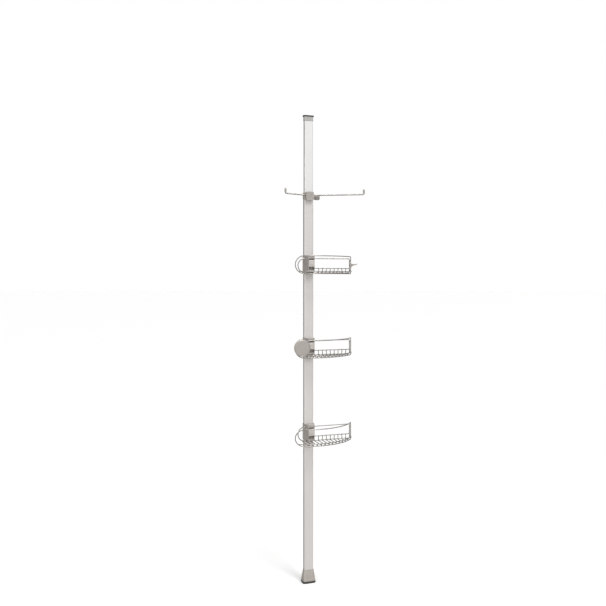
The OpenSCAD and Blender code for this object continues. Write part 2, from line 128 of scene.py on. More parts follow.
class Shape:
    """Collects closed shells, with a UV in metres: U along the length, V around."""

    def __init__(self):
        self.verts, self.faces, self.uvs = [], [], []

    def rings(self, rings, lengths, girth, closed=False):
        """Joins rings with the same number of points. An open run has its ends capped."""
        base, count = len(self.verts), len(rings[0])
        for ring in rings:
            self.verts += [tuple(p) for p in ring]
        last = len(rings) if closed else len(rings) - 1
        for i in range(last):
            j = (i + 1) % len(rings)
            u0, u1 = lengths[i], lengths[i + 1]
            for k in range(count):
                n = (k + 1) % count
                self.faces.append([base + i * count + k, base + i * count + n,
                                   base + j * count + n, base + j * count + k])
                v0, v1 = girth * k / count, girth * (k + 1) / count
                self.uvs.append([(u0, v0), (u0, v1), (u1, v1), (u1, v0)])
        if closed:
            return
        for ring, order in ((0, -1), (len(rings) - 1, 1)):
            loop = [base + ring * count + k for k in range(count)][::order]
            self.faces.append(loop)
            points = [self.verts[v] for v in loop]
            self.uvs.append([(p[0] + p[2], p[1] + p[2]) for p in points])

    def tube(self, path, radius, sides=14, closed=False, end_round=0.6):
        """A round wire along a path. Open ends are rounded over by a share of the radius."""
        path = [Vector(p) for p in path]
        count, last = len(path), len(path) - 1
        heading = []
        for i in range(count):
            ahead = path[(i + 1) % count if closed else min(i + 1, last)]
            behind = path[i - 1 if closed else max(i - 1, 0)]
            heading.append((ahead - behind).normalized())
        side = heading[0].orthogonal().normalized()
        sides_at = [side]
        for i in range(1, count):
            side = heading[i - 1].rotation_difference(heading[i]) @ side
            side = (side - side.dot(heading[i]) * heading[i]).normalized()
            sides_at.append(side)
        twist = 0.0
        if closed:
            back = heading[-1].rotation_difference(heading[0]) @ side
            twist = atan2(sides_at[0].cross(back).dot(heading[0]), sides_at[0].dot(back))

        def ring(i, grow=1.0, shift=0.0):
            across = heading[i].cross(sides_at[i])
            centre = path[i] + shift * heading[i]
            return [centre + radius * grow * (cos(a) * sides_at[i] + sin(a) * across)
                    for a in [a - twist * i / count for a in turns(sides)]]

        lengths = running((path[(i + 1) % count] - path[i]).length for i in range(count))
        girth = 2 * pi * radius
        if closed:
            self.rings([ring(i) for i in range(count)], lengths, girth, True)
            return
        r = radius * end_round
        bends = [(1 - end_round * (1 - cos(a)), r * (1 - sin(a)))
                 for a in map(radians, (90, 60, 30))] + [(1, r)]
        start = [ring(0, grow, shift) for grow, shift in bends]
        end = [ring(last, grow, -shift) for grow, shift in bends[::-1]]
        run = lengths[:count]
        marks = [0.0] * 3 + [r] + run[1:-1] + [run[-1] - r] + [run[-1]] * 3
        self.rings(start + [ring(i) for i in range(1, last)] + end, marks, girth)

    def weld(self, centre, radii, sides=12, rows=7):
        """A weld bead: an ellipsoid with its poles along Z."""
        rings = []
        for a in [pi * j / rows for j in range(1, rows)]:
            rings.append([Vector(centre) + Vector((radii[0] * sin(a) * cos(b),
                                                   radii[1] * sin(a) * sin(b),
                                                   -radii[2] * cos(a)))
                          for b in turns(sides)])
        girth = 2 * pi * max(radii)
        self.rings(rings, [girth / 2 * j / rows for j in range(rows)], girth)

    def lathe(self, profile, place, sides=64, wave=None):
        """Turns (radius, height) pairs about a local Z axis. wave scales radii by angle."""
        rings = []
        for radius, height in profile:
            ring = []
            for b in turns(sides):
                r = radius * (wave(height, b) if wave else 1)
                ring.append(place @ Vector((r * cos(b), r * sin(b), height)))
            rings.append(ring)
        lengths = running(hypot(r1 - r0, h1 - h0)
                          for (r0, h0), (r1, h1) in zip(profile, profile[1:]))
        self.rings(rings, lengths, 2 * pi * max(r for r, _ in profile))

    def loft(self, sections, place=Matrix.Identity(4)):
        """Joins outlines with the same number of points: a list of (outline, height)."""
        rings = [[place @ Vector((x, y, z)) for x, y in outline] for outline, z in sections]
        lengths = running(abs(z1 - z0) for (_, z0), (_, z1) in zip(sections, sections[1:]))
        self.rings(rings, lengths, LOFT_GIRTH)

    def build(self, name):
        mesh = bpy.data.meshes.new(name)
        mesh.from_pydata(self.verts, [], self.faces)
        layer = mesh.uv_layers.new(name="UVMap")
        for loop, uv in zip(layer.data, [uv for face in self.uvs for uv in face]):
            loop.uv = uv
        mesh.validate()
        return add_object(name, mesh)


def add_object(name, data):
    obj = bpy.data.objects.new(name, data)
    bpy.context.scene.collection.objects.link(obj)
    return obj


def bake_modifiers(obj):
    bpy.context.view_layer.update()
    graph = bpy.context.evaluated_depsgraph_get()
    mesh = bpy.data.meshes.new_from_object(obj.evaluated_get(graph))
    obj.modifiers.clear()
    old = obj.data
    obj.data = mesh
    bpy.data.meshes.remove(old)


def combine(base, others, operation):
    """A boolean of base with each of the others, which are used up."""
    for other in others:
        step = base.modifiers.new("step", "BOOLEAN")
        step.operation = operation
        step.object = other
        step.solver = "EXACT"
        bake_modifiers(base)
        mesh = other.data
        bpy.data.objects.remove(other)
        bpy.data.meshes.remove(mesh)


def soften(obj, width, segments=3, angle=32):
    """Rounds the edges sharper than an angle, as a moulding or a deburred part has them."""
    edges = obj.modifiers.new("edges", "BEVEL")
    edges.width = width * MM
    edges.segments = segments
    edges.limit_method = "ANGLE"
    edges.angle_limit = radians(angle)
    edges.use_clamp_overlap = True
    bake_modifiers(obj)


def shade(obj, angle):
    obj.data.shade_smooth()
    obj.data.set_sharp_from_angle(angle=radians(angle))
    normals = obj.modifiers.new("normals", "WEIGHTED_NORMAL")
    normals.keep_sharp = True


def lofted(name, sections, place=Matrix.Identity(4)):
    shape = Shape()
    shape.loft(sections, place)
    return shape.build(name)


def prism(outline, low, high, place=Matrix.Identity(4), name="solid"):
    """An extruded outline as a solid object."""
    return lofted(name, [(outline, low), (outline, high)], place)


def box_solid(low, high):
    (x0, y0, z0), (x1, y1, z1) = low, high
    return prism([(x0, y0), (x1, y0), (x1, y1), (x0, y1)], z0, z1)


def rod_solid(start, end, radius, sides=40):
    start, end = Vector(start), Vector(end)
    turn = (end - start).to_track_quat("Z", "X").to_matrix().to_4x4()
    place = Matrix.Translation(start) @ turn
    return prism(disc(0, 0, radius, sides), 0, (end - start).length, place)


def cross_rod(centre, half, radius):
    """A rod along X, as long on each side of a centre."""
    reach = Vector((half, 0, 0))
    return rod_solid(centre - reach, centre + reach, radius)


def lathed(name, profile, place, sides, wave=None):
    shape = Shape()
    shape.lathe(profile, place, sides, wave)
    return shape.build(name)


# An outline in (Y, Z), extruded along X
ALONG_X = Matrix(((0, 0, 1, 0), (1, 0, 0, 0), (0, 1, 0, 0), (0, 0, 0, 1)))
# An outline in (X, Z), extruded along -Y
ALONG_FRONT = Matrix(((1, 0, 0, 0), (0, 0, -1, 0), (0, 1, 0, 0), (0, 0, 0, 1)))


def facing(x, y, z):
    """A placement at a point for an outline that is extruded towards the front."""
    return Matrix.Translation((x, y, z)) @ ALONG_FRONT


# --- Materials ---

class Nodes:
    """A node tree, with helpers that add a node and feed its inputs."""

    def __init__(self, owner):
        owner.use_nodes = True
        self.tree = owner.node_tree

    def feed(self, socket, value):
        """Sets a socket to a plain value, or links it to another node's output."""
        if isinstance(value, bpy.types.NodeSocket):
            self.tree.links.new(value, socket)
        elif socket.type == "RGBA":
            socket.default_value = (*value[:3], 1)
        else:
            socket.default_value = value

    def add(self, kind, **inputs):
        node = self.tree.nodes.new("ShaderNode" + kind)
        for key, value in inputs.items():
            self.feed(node.inputs[key.replace("_", " ")], value)
        return node

    def remap(self, value, low, high, start=0.3, end=0.7):
        """low to high as a value goes from start to end. The default suits a noise."""
        node = self.add("MapRange", Value=value, From_Min=start, From_Max=end,
                        To_Min=low, To_Max=high)
        return node.outputs["Result"]

    def maths(self, operation, a, b):
        node = self.add("Math")
        node.operation = operation
        self.feed(node.inputs[0], a)
        self.feed(node.inputs[1], b)
        return node.outputs[0]


class Finish(Nodes):
    """A principled material with helpers that keep every input procedural."""

    def __init__(self, name, colour, metallic, roughness):
        self.material = bpy.data.materials.new(name)
        self.material["slot"] = name
        super().__init__(self.material)
        self.shader = self.tree.nodes["Principled BSDF"]
        self.colour = colour
        self.shader.inputs["Metallic"].default_value = metallic
        self.shader.inputs["Roughness"].default_value = roughness
        self.shader.inputs["Base Color"].default_value = (*colour, 1)
        self.material.diffuse_color = (*colour, 1)

    def place(self, scale, source="Object"):
        """Coordinates in metres times a scale: one number, or one for each axis."""
        coords = self.add("TexCoord")
        mapping = self.add("Mapping", Vector=coords.outputs[source],
                           Scale=scale if isinstance(scale, tuple) else (scale,) * 3)
        return mapping.outputs["Vector"]

    def noise(self, scale, detail=3, source="Object", distortion=0.0):
        node = self.add("TexNoise", Vector=self.place(scale, source), Scale=1.0,
                        Detail=detail, Distortion=distortion)
        return node.outputs["Fac"]

    def mask(self, value, start, end):
        """0 to 1 as a value goes from start to end."""
        return self.remap(value, 0, 1, start, end)

    def blend(self, factor, a, b):
        node = self.add("Mix")
        node.data_type = "RGBA"
        self.feed(node.inputs["Factor"], factor)
        for socket, value in zip([s for s in node.inputs if s.type == "RGBA"], (a, b)):
            self.feed(socket, value)
        return [s for s in node.outputs if s.type == "RGBA"][0]

    def edges(self, low=0.52, high=0.6):
        """1 on convex edges, 0 on flats."""
        geometry = self.add("NewGeometry")
        return self.mask(geometry.outputs["Pointiness"], low, high)

    def times(self, share):
        """The material's own colour, darker or lighter."""
        return [min(1, c * share) for c in self.colour]

    def tones(self, noise, dark, light):
        """A colour between two multiples of the material's own, by a noise."""
        return self.blend(self.remap(noise, 0, 1), self.times(dark), self.times(light))

    def over(self, tone, mask, share, colour):
        """A colour laid over a tone where a mask is 1, at a share of its strength."""
        return self.blend(self.maths("MULTIPLY", mask, share), tone, colour)

    def rough(self, noise, low, high, *marks):
        """Roughness between two values by a noise, changed by (mask, amount) marks."""
        value = self.remap(noise, low, high)
        for mask, amount in marks:
            value = self.maths("ADD", value, self.maths("MULTIPLY", mask, amount))
        return value

    def bumps(self, *layers):
        """Stacks (height, strength, depth in millimetres) layers of bump."""
        normal = None
        for height, strength, depth in layers:
            bump = self.add("Bump", Height=height, Strength=strength,
                            Distance=depth * MM)
            if normal:
                self.feed(bump.inputs["Normal"], normal)
            normal = bump.outputs["Normal"]
        self.feed(self.shader.inputs["Normal"], normal)

    def finish(self, colour, roughness):
        self.feed(self.shader.inputs["Base Color"], colour)
        self.feed(self.shader.inputs["Roughness"], roughness)
        return self.material


PAINTED_SIDE_SHADE = 0.35    # painted shade: how much darker a tube's two narrow sides are painted than its faces


def anodised(name, colour, roughness, metallic, half_width):
    """Satin anodised extrusion: fine die lines, faint clouds, a few scuffs, and painted shade
    that darkens its two narrow sides.
    """
    f = Finish(name, colour, metallic, roughness)
    lines = f.noise((1100, 1100, 5), 4)
    cloud = f.noise((9, 9, 4), 5)
    speckle = f.noise(2600, 2)
    scuffs = f.mask(f.noise((60, 60, 14), 8, distortion=1.2), 0.62, 0.74)
    axes = f.add("SeparateXYZ", Vector=f.place(1))
    # Painted shade: a mask of the tube's two narrow sides, whose colour is darkened below to
    # stand for the shade they lie in.
    side = f.mask(f.maths("ABSOLUTE", axes.outputs["X"], 0),
                  half_width - 1.2 * MM, half_width - 0.5 * MM)
    tone = f.tones(cloud, 0.965, 1.02)
    tone = f.blend(f.remap(lines, 0, 0.35), tone, f.times(0.93))
    tone = f.over(tone, scuffs, 0.25, f.times(1.12))
    # Painted shade: the narrow sides take a darker copy of the colour.
    tone = f.blend(side, tone, f.times(PAINTED_SIDE_SHADE))
    f.bumps((lines, 0.12, 0.02), (speckle, 0.06, 0.02))
    return f.finish(tone, f.rough(lines, roughness - 0.05, roughness + 0.06, (scuffs, 0.08)))


def satin_paint(name, colour, roughness, metallic=0.25):
    """Satin grey coating: fine orange peel, a cloudy tone and lighter, smoother edges."""
    f = Finish(name, colour, metallic, roughness)
    peel = f.noise(1800, 2)
    flow = f.noise(260)
    cloud = f.noise(38, 6)
    chips = f.remap(f.noise(900, 6), 0.2, 1, 0.45, 0.7)
    worn = f.maths("MULTIPLY", f.edges(0.56, 0.7), chips)
    tone = f.tones(cloud, 0.93, 1.05)
    tone = f.blend(f.remap(peel, 0, 0.25), tone, f.times(0.88))
    tone = f.over(tone, worn, 0.35, f.times(1.4))
    f.bumps((flow, 0.15, 0.08), (peel, 0.18, 0.03))
    return f.finish(tone, f.rough(cloud, roughness - 0.05, roughness + 0.07, (worn, -0.12)))


def drawn_wire(name, colour, roughness):
    """Bright drawn stainless: lines along the wire, slight browning and water marks."""
    f = Finish(name, colour, 1.0, roughness)
    lines = f.noise((30, 2600, 1), 4, source="UV")
    marks = f.mask(f.noise(70, 7, distortion=0.8), 0.52, 0.72)
    spots = f.mask(f.noise(520), 0.63, 0.72)
    brown = [c * share for c, share in zip(colour, (0.86, 0.82, 0.77))]
    tone = f.over(f.tones(lines, 0.9, 1.06), marks, 0.35, brown)
    f.bumps((lines, 0.16, 0.02), (marks, 0.08, 0.03))
    return f.finish(tone, f.rough(lines, roughness - 0.06, roughness + 0.07,
                                  (marks, 0.1), (spots, 0.12)))


def brushed(name, colour, roughness, scale, metallic=1.0):
    """Brushed metal with strokes across one direction, and bright worn edges."""
    f = Finish(name, colour, metallic, roughness)
    strokes = f.noise(scale, 5)
    cloud = f.noise(45, 4)
    worn = f.maths("MULTIPLY", f.edges(), f.remap(strokes, 0.4, 1))
    tone = f.tones(strokes, 0.88, 1.05)
    tone = f.blend(f.remap(cloud, 0, 0.4), tone, f.times(0.9))
    tone = f.over(tone, worn, 0.5, f.times(1.3))
    f.bumps((strokes, 0.22, 0.025), (cloud, 0.06, 0.05))
    return f.finish(tone, f.rough(strokes, roughness - 0.08, roughness + 0.1))


def rubber(name, colour):
    """Matt moulded rubber with a fine texture, dust in the hollows and paler edges."""
    f = Finish(name, colour, 0.0, 0.72)
    pores = f.noise(1500)
    dust = f.mask(f.noise(90, 8), 0.48, 0.7)
    tone = f.over(f.tones(pores, 0.7, 1.25), dust, 0.14, (0.25, 0.24, 0.23))
    tone = f.over(tone, f.edges(0.51, 0.6), 0.25, (0.16, 0.155, 0.15))
    f.bumps((pores, 0.35, 0.06), (dust, 0.1, 0.05))
    return f.finish(tone, f.rough(pores, 0.62, 0.78, (dust, 0.12)))


def moulded(name, colour):
    """Black moulded plastic with spark-eroded texture and slightly pale rubbed edges."""
    f = Finish(name, colour, 0.0, 0.5)
    cells = f.add("TexVoronoi", Vector=f.place(1400), Scale=1.0)
    texture = cells.outputs["Distance"]
    tone = f.over(f.tones(f.noise(60, 5), 0.8, 1.3), f.edges(), 0.3, (0.14, 0.14, 0.14))
    f.bumps((texture, 0.25, 0.04))
    return f.finish(tone, f.remap(texture, 0.42, 0.6, 0.1, 0.8))


def mirror_face(name, colour):
    """Silvered glass with faint dried drops and wipe marks that mostly change the gloss."""
    f = Finish(name, colour, 1.0, 0.16)
    wipes = f.noise((40, 40, 420), 5, distortion=0.6)
    drops = f.mask(f.noise(300, 2), 0.66, 0.7)
    tone = f.over(f.tones(wipes, 0.96, 1.02), drops, 0.2, f.times(0.85))
    f.bumps((wipes, 0.03, 0.01), (drops, 0.05, 0.02))
    return f.finish(tone, f.rough(wipes, 0.12, 0.2, (drops, 0.15)))


OUTER = span("outer_tube")
TUBE = anodised("anodised_tube", (0.695, 0.672, 0.652), 0.4, 0.4, OUTER.x / 2)
TUBE_LIGHT = anodised("anodised_tube_light", (0.89, 0.88, 0.87), 0.36, 0.7,
                      span("inner_tube").x / 2)
HOUSING = satin_paint("satin_housing", (0.40, 0.37, 0.34), 0.42)
CAP = satin_paint("cap_grey", (0.46, 0.45, 0.43), 0.42)
LEVER = brushed("lever_metal", (0.68, 0.64, 0.60), 0.38, (40, 900, 900), 0.6)
WIRE = drawn_wire("wire_steel", (0.36, 0.34, 0.32), 0.24)
SCREW = brushed("screw_steel", (0.60, 0.60, 0.60), 0.34, 800)
SPRING = drawn_wire("spring_steel", (0.45, 0.45, 0.45), 0.3)
BRASS = brushed("brass", (0.66, 0.50, 0.26), 0.32, (30, 900, 900))
RUBBER = rubber("rubber", (0.022, 0.022, 0.022))
PLASTIC = moulded("black_plastic", (0.035, 0.035, 0.037))
MIRROR = mirror_face("mirror", (0.64, 0.60, 0.565))


def fit(obj, material, body, node, angle=38):
    """Gives a piece its finish, its body and the CAD node that it stands for."""
    obj.data.materials.clear()
    obj.data.materials.append(material)
    shade(obj, angle)
    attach(obj, body)
    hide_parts(node)


def dress(node, material):
    """A CAD node whose shape is right keeps it and takes a finish."""
    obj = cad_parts[node]
    obj.data.materials.clear()
    obj.data.materials.append(material)


# --- Pole ---

TUBE_R = 7 * MM
INNER_R = 5.2 * MM
WALL = 1.4 * MM
CAP_ROOF = 5 * MM
SLEEVE_WALL = 2 * MM
SLIP = 0.4 * MM         # what a bore is wider than the tube in it
BORE_R = 7.2 * MM


def shell_tube(name, node, radius, material, body):
    """An extruded tube whose two end faces have broken edges, with one closed skin."""
    low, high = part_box(node)
    width, depth = high[0] - low[0], high[1] - low[1]
    cut = WALL * 0.3

    def ring(inset, z):
        return [Vector((x, y, z)) for x, y in inset_rect(width, depth, radius, inset, 10)]

    heights = [low[2] + cut + (high[2] - low[2] - 2 * cut) * i / 24 for i in range(25)]
    marks = [(cut, low[2])] + [(0, z) for z in heights] + [(cut, high[2])]
    marks += [(WALL - cut, high[2])] + [(WALL, z) for z in heights[::-1]]
    marks += [(WALL - cut, low[2])]
    lengths = running(abs(z1 - z0) for (_, z0), (_, z1) in zip(marks, marks[1:] + marks[:1]))
    shape = Shape()
    shape.rings([ring(*mark) for mark in marks], lengths, 2 * (width + depth), closed=True)
    fit(shape.build(name), material, body, node)


shell_tube("pole_outer", "outer_tube", TUBE_R, TUBE, "root")
shell_tube("pole_inner", "inner_tube", INNER_R, TUBE_LIGHT, "mast")


# --- Foot and ceiling end ---

PAD_TREAD = 1.2 * MM
PAD_BOSS_R = 6 * MM
SKIRT_R = 10.5 * MM
NECK_R = 9 * MM
COIL_CLOSING = 0.35     # how much closer the end turns of a coil are
COIL_STEPS = 20
COIL_WIRE = 0.9 * MM


def pad(name, node, body, radius, boss=None):
    """A moulded rubber pad with a rolled edge and a ring groove round its side."""
    low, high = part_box(node)
    base, top = low[2], high[2] - (boss[2] if boss else 0)
    width, depth, height = high[0] - low[0], high[1] - low[1], top - base
    roll = min(1.4 * MM, height * 0.2)
    waist = base + height * 0.5

    def ring(inset, z):
        return inset_rect(width, depth, radius, inset), z

    sections = [ring(PAD_TREAD + roll, base)]
    sections += [ring(inset * roll, level + rise * roll) for inset, level, rise in (
        (0.6, base, 0.15), (0.1, base, 1), (0, base, 1.3), (0, waist, -0.7),
        (0.5, waist, -0.3), (0.5, waist, 0.3), (0, waist, 0.7), (0, top, -1.1),
        (0.3, top, -0.3), (1, top, 0))]
    if boss:
        cut = 0.6 * MM
        sections += [(inset_rect(boss[0], boss[1], PAD_BOSS_R, inset), z)
                     for inset, z in ((0, top), (0, high[2] - cut), (cut, high[2]))]
    fit(lofted(name, sections), RUBBER, body, node)


def foot_housing():
    """The flared shell: a skirt with a rolled lip, and an open top with a rounded edge."""
    low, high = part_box("foot_housing")
    bottom, top = low[2], high[2]
    wide, deep = high[0] - low[0], high[1] - low[1]
    neck_w, neck_d = OUTER.x + 2 * SLEEVE_WALL, OUTER.y + 2 * SLEEVE_WALL
    bore_w, bore_d = OUTER.x + SLIP, OUTER.y + SLIP
    skirt_top, neck_bottom = bottom + 4 * MM, top - 3 * MM
    bore_depth = bottom + 16 * MM

    def flare(t, inset, z):
        ease, inset = t ** 1.12, inset * MM
        return rounded_rect(wide + (neck_w - wide) * ease - 2 * inset,
                            deep + (neck_d - deep) * ease - 2 * inset,
                            SKIRT_R + (NECK_R - SKIRT_R) * t - inset), z

    sections = [flare(0, inset, bottom + rise * MM)
                for inset, rise in ((1.6, 0), (0.5, 0.3), (0.1, 0.9), (0, 1.6))]
    sections += [flare(t / 12, 0, skirt_top + (neck_bottom - skirt_top) * t / 12)
                 for t in range(13)]
    sections += [flare(1, inset, top - drop * MM)
                 for inset, drop in ((0, 1.2), (0.35, 0.3), (0.9, 0))]
    sections += [(rounded_rect(bore_w + 0.8 * MM, bore_d + 0.8 * MM, 7.6 * MM), top - 0.1 * MM),
                 (rounded_rect(bore_w, bore_d, BORE_R), top - 0.8 * MM),
                 (rounded_rect(bore_w, bore_d, BORE_R), bore_depth)]
    fit(lofted("foot_shell", sections), HOUSING, "root", "foot_housing")


def top_cap():
    """The grey cap: open below, with a fine groove round it near the top."""
    low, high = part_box("top_cap")
    wide, deep = high[0] - low[0], high[1] - low[1]
    bore = inset_rect(wide, deep, TUBE_R, WALL)

    def ring(inset, z):
        return inset_rect(wide, deep, TUBE_R, inset * MM), z

    sections = [(bore, high[2] - CAP_ROOF), (bore, low[2] + 0.4 * MM),
                (rounded_rect(wide - 2.1 * MM, deep - 2.1 * MM, 6 * MM), low[2]),
                ring(0.4, low[2]), ring(0, low[2] + 0.5 * MM)]
    sections += [ring(inset, high[2] - drop * MM) for inset, drop in (
        (0, 7), (0.5, 6.6), (0.5, 6), (0, 5.6), (0, 1.2), (0.4, 0.4), (1.2, 0))]
    fit(lofted("head_cap", sections), CAP, "ceiling_end", "top_cap")


def coil(name, coils, radius, wire, start, end, axis=Matrix.Identity(3), centre=Vector()):
    """A coil spring between two heights along an axis, with closer end turns."""
    points = []
    for i in range(coils * COIL_STEPS + 1):
        t = i / (coils * COIL_STEPS)
        a = 2 * pi * coils * t
        eased = t - COIL_CLOSING * sin(2 * pi * t) / (2 * pi)
        points.append(centre + axis @ Vector((radius * cos(a), radius * sin(a),
                                              start + (end - start) * eased)))
    shape = Shape()
    shape.tube(points, wire, sides=10)
    return shape.build(name)


def ceiling_spring():
    """The coil between the spring seat and the cap's roof, which the cap squashes."""
    low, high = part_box("ceiling_spring")
    obj = coil("ceiling_coil", 9, 5.6 * MM, COIL_WIRE, low[2] + COIL_WIRE, high[2] - COIL_WIRE)
    fit(obj, SPRING, "mast", "ceiling_spring", 60)
    obj.modifiers.clear()
    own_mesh(obj)


pad("foot_pad", "floor_pad", "root", 12 * MM, boss=(44 * MM, 26 * MM, 4 * MM))
pad("head_pad", "ceiling_pad", "ceiling_end", 9 * MM)
foot_housing()
top_cap()
ceiling_spring()
for node, finish in (("foot_plug", PLASTIC), ("foot_screw", SCREW), ("inner_shoe", PLASTIC),
                     ("spring_seat", PLASTIC), ("guide_rod", SCREW), ("lock_insert", BRASS),
                     ("lock_screw", SCREW)):
    dress(node, finish)


# --- Collar, knob and hook bar ---

BAR_R = 3.5 * MM
BAR_Y = middle("hook_tips").y
BAR_LIFT = 2 * MM           # the bar's height over the outer tube's end
ARM_RISE = radians(3)
BEND_R = 6 * MM
TIP_R = 5 * MM
TIP_HEIGHT = 21.4 * MM
TIP_SHOULDER = 3.9 * MM
TIP_DOME = 5.1 * MM
COLLAR_DEPTH = 28 * MM
COLLAR_R = 9 * MM
BAND_INSET = 2.5 * MM
BOSS_WIDTH = 41 * MM
BOSS_R = 7 * MM
BOSS_ROOT = 12 * MM
BEYOND = 5 * MM             # how far a cutter reaches past what it cuts
FLUTES = 10
FLUTE_DEPTH = 0.17
FLUTE_START = 5 * MM


def lock_collar():
    """The collar round the tube joint, with a round-cornered boss that holds the bar."""
    low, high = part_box("lock_collar")
    width = OUTER.x + 2 * SLEEVE_WALL
    band_low, band_high = low[2] + BAND_INSET, high[2] - BAND_INSET
    sections = []
    for t in [i / 8 for i in range(9)]:
        pinch = 1.2 * MM * (2 * t - 1) ** 2
        sections.append((inset_rect(width, COLLAR_DEPTH, COLLAR_R, pinch),
                         band_low + (band_high - band_low) * t))
    obj = lofted("collar", sections)
    boss = prism(rounded_rect(BOSS_WIDTH, high[2] - low[2], BOSS_R), 0, -low[1] - BOSS_ROOT,
                 facing(0, -BOSS_ROOT, (low[2] + high[2]) / 2))
    screw_z = middle("lock_screw").z
    shoulder = rod_solid((OUTER.x / 2 - 1 * MM, 0, screw_z), (31.5 * MM, 0, screw_z),
                         10 * MM, 48)
    combine(obj, [boss, shoulder], "UNION")
    joint_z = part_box("outer_tube")[1][2]
    lower_bore = prism(rounded_rect(OUTER.x + SLIP, OUTER.y + SLIP, BORE_R),
                       low[2] - BEYOND, joint_z)
    upper_bore = prism(inset_rect(OUTER.x, OUTER.y, TUBE_R, WALL), joint_z - 1 * MM,
                       high[2] + BEYOND)
    screw_bore = rod_solid((15 * MM, 0, screw_z), (34 * MM, 0, screw_z), 6 * MM)
    seam = box_solid((-30 * MM, -0.4 * MM, low[2] - 1 * MM),
                     (-26.2 * MM, 0.4 * MM, high[2] + 1 * MM))
    combine(obj, [lower_bore, upper_bore, screw_bore, seam], "DIFFERENCE")
    soften(obj, 1.1, 4)
    fit(obj, HOUSING, "root", "lock_collar")


def knob():
    """The fluted clamp knob: ten grip flutes, a domed end and a shallow dish in it."""
    low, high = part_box("lock_knob")
    length, radius = high[0] - low[0], (high[1] - low[1]) / 2
    centre = middle("lock_knob")

    def flutes(height, angle):
        depth = FLUTE_DEPTH * min(1, max(0, (height - FLUTE_START) / (3 * MM)))
        return 1 - depth * max(0, cos(FLUTES * angle)) ** 2

    profile = [(3.1 * MM, 0)]
    profile += rim(radius, [(3.4, 0), (2.2, 0.4), (2, 1.2), (2, 3.2), (0.6, 4), (0, 5), (0, 6.5),
                            (0, 8)])
    profile.append((radius * 0.985, 14 * MM))
    profile += [(radius * share, length - drop * MM) for share, drop in (
        (0.96, 4), (0.93, 2), (0.85, 0.7), (0.74, 0.1), (0.62, 0), (0.56, 0.4), (0.5, 1.1),
        (0.2, 1.4))]
    profile.append((0.3 * MM, length - 1.4 * MM))
    place = Matrix.Translation((low[0], centre.y, centre.z)) @ Matrix.Rotation(pi / 2, 4, "Y")
    fit(lathed("clamp_knob", profile, place, 120, flutes), HOUSING, "lock_knob", "lock_knob", 50)


def hook_arm(end_x):
    """The centre line of an arm, up to where it stands upright at end_x."""
    side, reach = copysign(1, end_x), abs(end_x)
    bar_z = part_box("outer_tube")[1][2] + BAR_LIFT
    run = (reach - BEND_R * (1 - sin(ARM_RISE))) / cos(ARM_RISE)
    out, up = run * cos(ARM_RISE), run * sin(ARM_RISE)
    points = [(side * out * t / 14, BAR_Y, bar_z + up * t / 14) for t in range(15)]
    elbow_x = out - BEND_R * sin(ARM_RISE)
    elbow_z = bar_z + up + BEND_R * cos(ARM_RISE)
    for i in range(1, 11):
        a = (ARM_RISE - pi / 2) * (1 - i / 10)
        points.append((side * (elbow_x + BEND_R * cos(a)), BAR_Y,
                       elbow_z + BEND_R * sin(a)))
    return points


def hook_tip(shape, base):
    """The thicker cap on an upright end: a collar, a smooth barrel and a domed top."""
    barrel = TIP_HEIGHT - TIP_DOME - TIP_SHOULDER
    profile = [(BAR_R * 0.5, 0)]
    profile += rim(TIP_R, [(1.1, 0), (0.4, 0.3), (0, 1), (0, 2.2), (0.5, 2.7), (0.5, 3.4),
                           (0, 3.9)])
    profile += [(TIP_R, TIP_SHOULDER + barrel * i / 4) for i in range(1, 5)]
    profile += [(TIP_R * cos(a), TIP_HEIGHT - TIP_DOME + TIP_DOME * sin(a))
                for a in map(radians, range(10, 90, 10))]
    profile.append((0.2 * MM, TIP_HEIGHT))
    shape.lathe(profile, Matrix.Translation(base), 40)


def hook_bar():
    """One bent wire with two arms, and the cap on each of its upright ends."""
    tips_low, tips_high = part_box("hook_tips")
    right, left = hook_arm(tips_high[0] - TIP_R), hook_arm(tips_low[0] + TIP_R)
    into_tip = Vector((0, 0, 2.5 * MM))
    bar = Shape()
    bar.tube([Vector(left[-1]) + into_tip] + left[:0:-1] + right[1:]
             + [Vector(right[-1]) + into_tip], BAR_R, 20)
    fit(bar.build("hook_rail"), WIRE, "root", "hook_bar", 60)
    tips = Shape()
    for arm in (right, left):
        hook_tip(tips, arm[-1])
    fit(tips.build("hook_caps"), HOUSING, "root", "hook_tips", 50)


hook_bar()
lock_collar()
knob()


# --- Baskets ---
# Heights are drops below, or rises above, a shelf's top back rail.

RAIL_Y = middle("upper_mid_rail").y
WIRE_R = span("upper_mid_rail").y / 2
THIN_R = span("upper_guard_rail").z / 2
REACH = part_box("upper_back_wire")[1][0] - WIRE_R - 0.3 * MM
LOOP_R = 36 * MM
LOOP_X = -28 * MM
MID_DROP = 50 * MM
FLOOR_DROP = 77 * MM
FRONT_TOP = 10 * MM
GUARD_RISE = 11 * MM
FLARE = 26 * MM
ARC = Vector((10 * MM, 128 * MM))
ARC_R = 265 * MM
ARC_START = radians(-16)
ARC_END = radians(52)
CORNER = 6 * MM
TIE_DROPS = (12 * MM, 60 * MM)
FLOOR_PITCH = 21.2 * MM
FLOOR_FIRST = -40.2 * MM
FLOOR_COUNT = 12
FLOOR_BEND = 4.5 * MM
LEG_FROM = 40 * MM
WELD_SINK = 0.4 * MM        # how far a welded wire sinks into the next one


def outward(angle):
    return Vector((sin(angle), -cos(angle)))


# The top rail's arc, seen from above, leaves the flared left end and meets the end post.
LEFT_END = ARC + ARC_R * outward(ARC_START)
FRONT_POST = ARC + ARC_R * outward(ARC_END)
FLARED_END = LEFT_END + FLARE * outward(ARC_START)
CHORD = FRONT_POST - FLARED_END
TOP_R = -CHORD.length_squared / (2 * CHORD.dot(outward(ARC_START)))
TOP_CENTRE = FLARED_END - TOP_R * outward(ARC_START)
TOP_DIR = FRONT_POST - TOP_CENTRE
TOP_END = atan2(TOP_DIR.x, -TOP_DIR.y)
GUARD_R = ARC_R + FLARE * GUARD_RISE / (FRONT_TOP + FLOOR_DROP)


